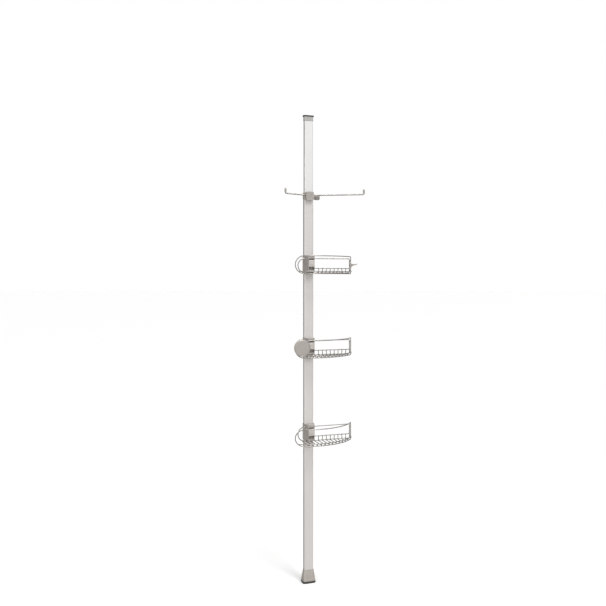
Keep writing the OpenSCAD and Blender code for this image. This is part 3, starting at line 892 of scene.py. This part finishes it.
def shelf_z(shelf):
    """The height of a shelf's top back rail."""
    return middle(f"{shelf}_mid_rail").z + MID_DROP


def level_arc(centre, radius, start, end, z, steps=28):
    return [(centre + radius * outward(start + (end - start) * i / steps)).to_3d()
            + Vector((0, 0, z)) for i in range(steps + 1)]


def arc_y(radius, x):
    """Where a level arc about the basket's centre passes an X."""
    return ARC.y - sqrt(radius ** 2 - (x - ARC.x) ** 2)


def rounded(points, radius, closed=False, steps=7, sharp=radians(25)):
    """The path with each sharp corner replaced by an arc."""
    count = len(points)
    out = []
    for i, point in enumerate(points):
        before, after = points[i - 1], points[(i + 1) % count]
        a, b = (before - point).normalized(), (after - point).normalized()
        turn = 0 if not closed and i in (0, count - 1) else pi - a.angle(b)
        if turn < sharp:
            out.append(point)
            continue
        reach = radius * tan(turn / 2)
        centre = point + (a + b).normalized() * radius / cos(turn / 2)
        start, end = point + a * reach - centre, point + b * reach - centre
        for t in [k / steps for k in range(steps + 1)]:
            mix = (start * sin((1 - t) * turn) + end * sin(t * turn)) / sin(turn)
            out.append(centre + mix)
    return out


def straight(start, end, pieces):
    start, end = Vector(start), Vector(end)
    return [start.lerp(end, i / pieces) for i in range(pieces + 1)]


def fit_wire(shape, shelf, name, node):
    fit(shape.build(f"{shelf}_{name}"), WIRE, f"{shelf}_shelf", f"{shelf}_{node}", 60)


def bead(across, along, up):
    """A weld's three radii, from shares of the thin wire's radius."""
    return across * THIN_R, along * THIN_R, up * THIN_R


def back_frame(shelf):
    """One closed wire: two rails, a half-round left end and a right end with bent corners."""
    z = shelf_z(shelf)
    floor_z = z - 2 * LOOP_R
    loop = [Vector((LOOP_X - LOOP_R * sin(a), RAIL_Y, z - LOOP_R + LOOP_R * cos(a)))
            for a in [pi * i / 24 for i in range(25)]]
    path = straight((REACH, RAIL_Y, z), (LOOP_X, RAIL_Y, z), 12)[:-1] + loop
    path += straight((LOOP_X, RAIL_Y, floor_z), (REACH, RAIL_Y, floor_z), 12)[1:]
    shape = Shape()
    shape.tube(rounded(path, CORNER, closed=True), WIRE_R, 16, closed=True)
    shape.weld((REACH - 1.2 * WIRE_R, RAIL_Y, z - MID_DROP),
               (1.5 * WIRE_R, 1.18 * WIRE_R, 1.18 * WIRE_R), 16, 9)
    fit_wire(shape, shelf, "back_frame", "back_wire")


def middle_rail(shelf):
    start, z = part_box(f"{shelf}_mid_rail")[0][0], shelf_z(shelf) - MID_DROP
    shape = Shape()
    shape.tube(straight((start, RAIL_Y, z), (REACH - WIRE_R * 0.8, RAIL_Y, z), 12), WIRE_R, 16)
    fit_wire(shape, shelf, "middle_rail", "mid_rail")


def front_loop(z, steps=24):
    """The tilted half circle that joins the flared top rail to the floor rail."""
    low = Vector((LEFT_END.x, LEFT_END.y, z - FLOOR_DROP))
    high = Vector((FLARED_END.x, FLARED_END.y, z + FRONT_TOP))
    centre, up = (low + high) / 2, (high - low) / 2
    left = Vector((-cos(ARC_START), -sin(ARC_START), 0)) * up.length
    return [centre + up * cos(a) + left * sin(a)
            for a in [pi * i / steps for i in range(steps + 1)]]


def front_frame(shelf):
    """One closed wire: flared top rail, half-round left end, floor rail and end post."""
    z = shelf_z(shelf)
    floor = level_arc(ARC, ARC_R, ARC_START, ARC_END, z - FLOOR_DROP)
    top = level_arc(TOP_CENTRE, TOP_R, ARC_START, TOP_END, z + FRONT_TOP)
    path = front_loop(z)[:-1] + floor + top[:0:-1]
    shape = Shape()
    shape.tube(rounded(path, CORNER, closed=True), WIRE_R, 16, closed=True)
    back = Vector((REACH, RAIL_Y))
    inward = (FRONT_POST - back).normalized() * WIRE_R * 0.7
    for drop in TIE_DROPS:
        a, b = (*(back + inward), z - drop), (*(FRONT_POST - inward), z - drop)
        shape.tube(straight(a, b, 3), THIN_R, 12)
        for end in (a, b):
            shape.weld(end, bead(1.25, 1.25, 1.5))
    fit_wire(shape, shelf, "front_frame", "front_wire")


def guard(shelf):
    """The thin rail above the front floor rail, with a weld at each end."""
    path = level_arc(ARC, GUARD_R, ARC_START - radians(6), ARC_END,
                     shelf_z(shelf) - FLOOR_DROP + GUARD_RISE)
    shape = Shape()
    shape.tube(path, THIN_R, 12)
    for end, grow in ((path[-1], 1.6), (path[0], 1.5)):
        shape.weld(end, bead(grow, grow, 1.3))
    fit_wire(shape, shelf, "guard", "guard_rail")


def floor_grid(shelf):
    """Twelve bent floor wires with a flattened weld at each crossing."""
    z = shelf_z(shelf)
    floor_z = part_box(f"{shelf}_floor_wires")[0][2] + THIN_R
    guard_z, mid_z = z - FLOOR_DROP + GUARD_RISE, z - MID_DROP
    leg_y = RAIL_Y - WIRE_R - THIN_R + WELD_SINK
    past = 2 * MM
    flat, upright = bead(1.25, 1.25, 0.85), bead(1.25, 0.85, 1.25)
    shape = Shape()
    for x in [FLOOR_FIRST + i * FLOOR_PITCH for i in range(FLOOR_COUNT)]:
        lean = asin((x - ARC.x) / ARC_R)
        guard_y = arc_y(GUARD_R, x)
        front_y = guard_y + (2 * THIN_R - WELD_SINK) / cos(lean)
        has_leg = x > LEG_FROM
        back_y = leg_y if has_leg else RAIL_Y - 1 * MM
        path = [Vector((x, front_y, guard_z + past)), Vector((x, front_y, floor_z))]
        path += straight((x, front_y, floor_z), (x, back_y, floor_z), 6)[1:]
        if has_leg:
            path.append(Vector((x, back_y, mid_z + past)))
        shape.tube(rounded(path, FLOOR_BEND), THIN_R, 12)
        shape.weld((x, arc_y(ARC_R, x), floor_z - 0.5 * THIN_R), flat)
        shape.weld((x, (guard_y + front_y) / 2, guard_z), upright)
        shape.weld((x, RAIL_Y - 0.8 * THIN_R, floor_z + 0.3 * THIN_R), flat)
        if has_leg:
            shape.weld((x, (RAIL_Y + back_y) / 2, mid_z), upright)
    fit_wire(shape, shelf, "floor_grid", "floor_wires")


# --- Shelf brackets and levers ---

PIVOT_Y = middle("upper_lever_pin").y
PIN_BORE_R = 2.06 * MM
NOSE_HALF = 16.5 * MM
SHOULDER_Y = -14 * MM
POCKET_Y = -30.6 * MM
RAIL_SLOT = 2.6 * MM        # half the height of a slot for a rail
SLOT_STARTS = ((-40 * MM, 0), (-22.3 * MM, MID_DROP))
WINDOW = (29.2 * MM, 58 * MM, 2.5 * MM, 4)
LEVER_THICK = 5.5 * MM
LEVER_TOP = 8 * MM
LEVER_BOTTOM = 42 * MM
RIDGE_PITCH = 3.2 * MM
CAM_R = 4 * MM
LUG_R = 5.2 * MM
LUG_INNER = 5 * MM


def bracket(shelf):
    """The wedge-shaped sleeve: a lever window in its nose and a close fit on the pole."""
    z = shelf_z(shelf)
    low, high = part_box(f"{shelf}_bracket")
    half, back, nose = high[0], high[1], low[1]
    right = [(half - 6 * MM, back), (half - 1.8 * MM, back - 1.8 * MM), (half, back - 6 * MM),
             (half, SHOULDER_Y), (NOSE_HALF + 1.4 * MM, nose + 5 * MM),
             (NOSE_HALF - 0.6 * MM, nose + 1.6 * MM), (NOSE_HALF - 4 * MM, nose)]
    body = prism(right[::-1] + [(-x, y) for x, y in right], low[2], high[2],
                 name=f"{shelf}_sleeve")
    soften(body, 1.6, 4, 40)
    bore = prism(rounded_rect(OUTER.x + 2 * SLIP, OUTER.y + 2 * SLIP, TUBE_R),
                 low[2] - BEYOND, high[2] + BEYOND)
    window = prism(rounded_rect(*WINDOW), 0, 26 * MM, facing(0, -36.2 * MM, z - 30 * MM))
    slots = [box_solid((start, POCKET_Y, z - drop - RAIL_SLOT),
                       (40 * MM, -8 * MM, z - drop + RAIL_SLOT)) for start, drop in SLOT_STARTS]
    pocket = box_solid((-20 * MM, POCKET_Y, z - MID_DROP - 7 * MM), (20 * MM, 0, z + 7 * MM))
    pad_low, pad_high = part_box(f"{shelf}_grip_pad")
    gap = 0.2 * MM
    pad_hole = box_solid((pad_low[0] - gap, -50 * MM, pad_low[2] - gap),
                         (pad_high[0] + gap, 0, pad_high[2] + gap))
    lines = [box_solid((x - 0.75 * MM, -9 * MM, base), (x + 0.75 * MM, 9 * MM, base + 0.8 * MM))
             for x in (-half - 0.25 * MM, half + 0.25 * MM)
             for base in (high[2] - 6 * MM, low[2] + 5.2 * MM)]
    combine(body, [bore, pocket, pad_hole, window] + slots + lines, "DIFFERENCE")
    soften(body, 0.45, 2, 50)
    fit(body, HOUSING, f"{shelf}_shelf", f"{shelf}_bracket")


def lever(shelf):
    """The flip lever: a crowned face plate with finger ridges, two lugs and their cams."""
    z = shelf_z(shelf)
    low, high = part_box(f"{shelf}_lever")
    half, face = high[0], low[1]
    inside = face + LEVER_THICK
    pivot_z = middle(f"{shelf}_lever_pin").z
    top, bottom = z - LEVER_TOP, z - LEVER_BOTTOM
    ridge_top = bottom + 12 * MM

    def on_face(level, points):
        return [(face + inset * MM, level + rise * MM) for inset, rise in points]

    side = [(inside, top)] + on_face(top, [(1.6, 0), (0.5, -0.9), (0, -3)])
    side.append((face, ridge_top))
    for i in range(3):
        side += on_face(ridge_top - i * RIDGE_PITCH, [(0.9, -0.5), (0.9, -1.6), (0, -2.1)])
    side += on_face(bottom, [(0.3, 1.2), (1.2, 0)])
    side += [(inside - 1.5 * MM, bottom), (inside, bottom + 1.5 * MM)]
    plate = prism(side, -half, half, ALONG_X, f"{shelf}_flip_lever")
    lug = hull_outline(disc(PIVOT_Y, pivot_z, LUG_R, 48)
                       + disc(PIVOT_Y + 1.4 * MM, pivot_z - CAM_R, CAM_R, 48)
                       + [(inside - 2 * MM, pivot_z + rise) for rise in (-4 * MM, 4 * MM)])
    combine(plate, [prism(lug, x, x + half - LUG_INNER, ALONG_X)
                    for x in (-half, LUG_INNER)], "UNION")
    pin = Vector((0, PIVOT_Y, pivot_z))
    combine(plate, [cross_rod(pin, half + 1 * MM, PIN_BORE_R)], "DIFFERENCE")
    soften(plate, 0.5, 3, 35)
    fit(plate, LEVER, f"{shelf}_lever", f"{shelf}_lever")


def lever_spring(shelf):
    obj = coil(f"{shelf}_lever_coil", 4, 3.2 * MM, 0.5 * MM, -4 * MM, 4 * MM,
               ALONG_X.to_3x3(), middle(f"{shelf}_lever_pin"))
    fit(obj, SPRING, f"{shelf}_shelf", f"{shelf}_lever_spring", 60)


for shelf in SHELVES:
    back_frame(shelf)
    middle_rail(shelf)
    front_frame(shelf)
    guard(shelf)
    floor_grid(shelf)
    bracket(shelf)
    lever(shelf)
    lever_spring(shelf)
    for part, finish in (("rail_clip", PLASTIC), ("clip_screws", SCREW), ("grip_pad", RUBBER),
                         ("lever_pin", SCREW)):
        dress(f"{shelf}_{part}", finish)


# --- Accessories ---

RAZOR_DROP = 34 * MM
RAZOR_THICK = 7 * MM
CLIP_HALF = 9 * MM
MIRROR_THICK = 7 * MM
EAR_R = 4.2 * MM
EAR_WIDTH = 5 * MM
# The prong's upper and lower edge from the post outwards, in millimetres
PRONG_TOP = ((3, 9), (6, 8.6), (10, 7.6), (14, 6.9), (18, 6.6), (23, 6.8), (28, 7.4), (33, 8.4),
             (35.6, 9.6), (36.2, 8.8))
PRONG_UNDER = ((3, -9), (7, -5.4), (12, -1.8), (18, 0.2), (23, 1.2), (28, 2.6), (33, 4.4),
               (35.6, 6.4))


def razor_hook():
    """A split clip on the end post with one flat prong that dips and turns up at its end."""
    post_x, post_y = FRONT_POST
    z = shelf_z("upper") - RAZOR_DROP
    low, high = z - CLIP_HALF - 3 * MM, z + CLIP_HALF + 3 * MM
    prong = prism([(x * MM, y * MM) for x, y in PRONG_UNDER + PRONG_TOP[::-1]], 0, RAZOR_THICK,
                  facing(post_x, post_y + RAZOR_THICK / 2, z), "razor_prong")
    clip = rod_solid((post_x, post_y, z - CLIP_HALF), (post_x, post_y, z + CLIP_HALF), 5 * MM, 48)
    combine(prong, [clip], "UNION")
    bore = rod_solid((post_x, post_y, low), (post_x, post_y, high), WIRE_R + 0.1 * MM)
    slit = box_solid((post_x - 9 * MM, post_y - 1.7 * MM, low), (post_x, post_y + 1.7 * MM, high))
    combine(prong, [bore, slit], "DIFFERENCE")
    soften(prong, 0.8, 3, 35)
    fit(prong, HOUSING, "upper_shelf", "razor_hook")


def mirror():
    """A lathed frame with a rolled rim and two hinge ears, and a glass with a ground edge."""
    low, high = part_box("mirror_frame")
    x, z = (low[0] + high[0]) / 2, (low[2] + high[2]) / 2
    radius, back = (high[2] - low[2]) / 2, low[1] + MIRROR_THICK
    profile = [(0.4 * MM, 0.3 * MM), (radius * 0.35, 0.3 * MM), (radius * 0.42, 0)]
    profile += rim(radius, [(5, 0), (2.4, 0.3), (0.8, 1.3), (0.1, 2.6), (0, 3.6), (0.1, 4.8),
                            (0.6, 6), (1.3, 6.8), (1.9, 7), (2.5, 6.7), (2.9, 6.1), (2.9, 4.1),
                            (6, 4)])
    profile.append((0.4 * MM, 4 * MM))
    ring = lathed("mirror_rim", profile, facing(x, back, z), 96)
    pin = middle("mirror_pin")
    ear = hull_outline(disc(pin.y, pin.z, EAR_R, 40)
                       + [(back - 1.5 * MM, pin.z + rise) for rise in (-5 * MM, 5 * MM)])
    combine(ring, [prism(ear, start, start + EAR_WIDTH, ALONG_X)
                   for start in (x - 2 * EAR_WIDTH, x + EAR_WIDTH)], "UNION")
    hinge = Vector((x, pin.y, pin.z))
    combine(ring, [cross_rod(hinge, 3 * EAR_WIDTH, PIN_BORE_R)], "DIFFERENCE")
    fit(ring, HOUSING, "mirror", "mirror_frame", 40)

    low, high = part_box("mirror_glass")
    radius, thick = (high[2] - low[2]) / 2, high[1] - low[1]
    profile = [(0.4 * MM, 0), (radius - 0.3 * MM, 0), (radius, 0.3 * MM)]
    profile += [(radius - inset * MM, thick - drop * MM) for inset, drop in (
        (0, 1.4), (0.3, 1.1), (3.2, 0.15), (3.6, 0))]
    profile += [(radius * share, thick) for share in (0.8, 0.6, 0.4, 0.2, 0.05)]
    fit(lathed("mirror_plate", profile, facing(x, high[1], z), 96), MIRROR, "mirror",
        "mirror_glass", 30)


def mirror_clip():
    """The clamp on the front loop, with an arm down to the hinge knuckle."""
    low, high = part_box("mirror_clip")
    pin = middle("mirror_pin")
    z = shelf_z("middle")
    x = (low[0] + high[0]) / 2
    front, back, bottom = pin.y + 3 * MM, high[1], z - 4 * MM
    block = prism(rounded_rect(high[0] - low[0], back - front, 3 * MM, 5), bottom, high[2],
                  Matrix.Translation((x, (front + back) / 2, 0)), "mirror_clamp")
    arm_front, arm_back, half = front + 0.3 * MM, front + 5.5 * MM, 4 * MM
    arm = [(arm_back, bottom + 2 * MM), (arm_front, bottom + 2 * MM),
           (arm_front, pin.z + 6 * MM)]
    arm += [(pin.y + EAR_R * cos(a), pin.z + EAR_R * sin(a))
            for a in map(radians, range(60, 301, 10))]
    arm.append((arm_back, pin.z - 0.5 * MM))
    combine(block, [prism(arm, x - half, x + half, ALONG_X)], "UNION")
    groove = Shape()
    groove.tube(front_loop(z), WIRE_R + 0.06 * MM, 20)
    bore = cross_rod(Vector((x, pin.y, pin.z)), 15 * MM, 2.03 * MM)
    combine(block, [groove.build("groove"), bore], "DIFFERENCE")
    soften(block, 0.7, 3, 38)
    fit(block, HOUSING, "middle_shelf", "mirror_clip")


razor_hook()
mirror()
mirror_clip()
dress("mirror_pin", SCREW)


# --- Floor, light and camera ---

FLOOR_TONE = (0.92, 0.92, 0.915)
FLOOR_BOUNCE = (0.45, 0.44, 0.43)   # the floor's colour to every ray but the camera's
FLOOR_SIZE = 300.0
FLOOR_THICK = 0.02
DOME_TOP = 0.8
DOME_FRONT = 0.6
DOME_BACK = 0.07
DOME_RIGHT = 0.1
KEY_SPREAD = radians(22)
STRIP_SIZE = (0.12, 2.8)
CAMERA_AZIMUTH = radians(-19)
CAMERA_DISTANCE = 3.825
CAMERA_HEIGHT = 1.538
IMAGE = 606
FOCAL_PIXELS = 750
SHIFT_PIXELS = (-5.2, -23)
SENSOR = 36.0


def studio_floor():
    """A pale floor that throws less light back on the object than it shows the camera."""
    f = Finish("studio_floor", FLOOR_TONE, 0.0, 0.6)
    grain = f.noise(14, 4)
    size = FLOOR_SIZE
    outline = [(-size, -size), (size, -size), (size, size), (-size, size)]
    floor = lofted("studio_floor", [(outline, -FLOOR_THICK), (outline, 0.0)])
    seen = f.add("LightPath").outputs["Is Camera Ray"]
    floor.data.materials.append(f.finish(
        f.blend(seen, FLOOR_BOUNCE, f.tones(grain, 0.995, 1.005)), f.remap(grain, 0.58, 0.62)))


def lamp(name, kind, azimuth, elevation, power, target=Vector(), distance=0.0):
    """A light seen from the object at an azimuth (0 in front, 90 at +X) and elevation."""
    a, e = radians(azimuth), radians(elevation)
    away = Vector((sin(a) * cos(e), -cos(a) * cos(e), sin(e)))
    data = bpy.data.lights.new(name, kind)
    data.energy = power
    light = add_object(name, data)
    light.location = target + away * distance
    light.rotation_mode = "QUATERNION"
    light.rotation_quaternion = (-away).to_track_quat("-Z", "Y")
    return data


def studio_world():
    """White behind the object, and a dome round it: bright overhead, greyer at the back."""
    world = bpy.context.scene.world = bpy.data.worlds.new("studio")
    w = Nodes(world)
    w.tree.nodes.clear()
    coords = w.add("TexCoord")
    axes = w.add("SeparateXYZ", Vector=coords.outputs["Generated"]).outputs
    light = w.remap(axes["Z"], 0.0, DOME_TOP, 0.1, 1.0)
    light = w.maths("ADD", light, w.remap(axes["Y"], DOME_FRONT, DOME_BACK, -0.9, 0.8))
    light = w.maths("ADD", light, w.remap(axes["X"], 0.0, DOME_RIGHT, -1.0, 1.0))
    pick = w.add("Mix", A=light, B=1.0,
                 Factor=w.add("LightPath").outputs["Is Camera Ray"])
    background = w.add("Background", Color=(1, 1, 1), Strength=pick.outputs[0])
    w.add("OutputWorld", Surface=background.outputs[0])


def studio_camera():
    data = bpy.data.cameras.new("camera")
    data.sensor_width = SENSOR
    data.lens = FOCAL_PIXELS * SENSOR / IMAGE
    data.shift_x, data.shift_y = [shift / IMAGE for shift in SHIFT_PIXELS]
    data.clip_end = 100
    camera = bpy.context.scene.camera = add_object("camera", data)
    camera.location = (CAMERA_DISTANCE * sin(CAMERA_AZIMUTH),
                       -CAMERA_DISTANCE * cos(CAMERA_AZIMUTH), CAMERA_HEIGHT)
    camera.rotation_euler = (pi / 2, 0, CAMERA_AZIMUTH)


studio_floor()
studio_world()
lamp("key", "SUN", azimuth=15, elevation=48, power=1.3).angle = KEY_SPREAD
strip = lamp("left_strip", "AREA", azimuth=-46, elevation=5, power=22,
             target=Vector((0, 0, OUTER.z / 2)), distance=3.0)
strip.shape = "RECTANGLE"
strip.size, strip.size_y = STRIP_SIZE
studio_camera()
bpy.context.scene.view_settings.view_transform = "Standard"
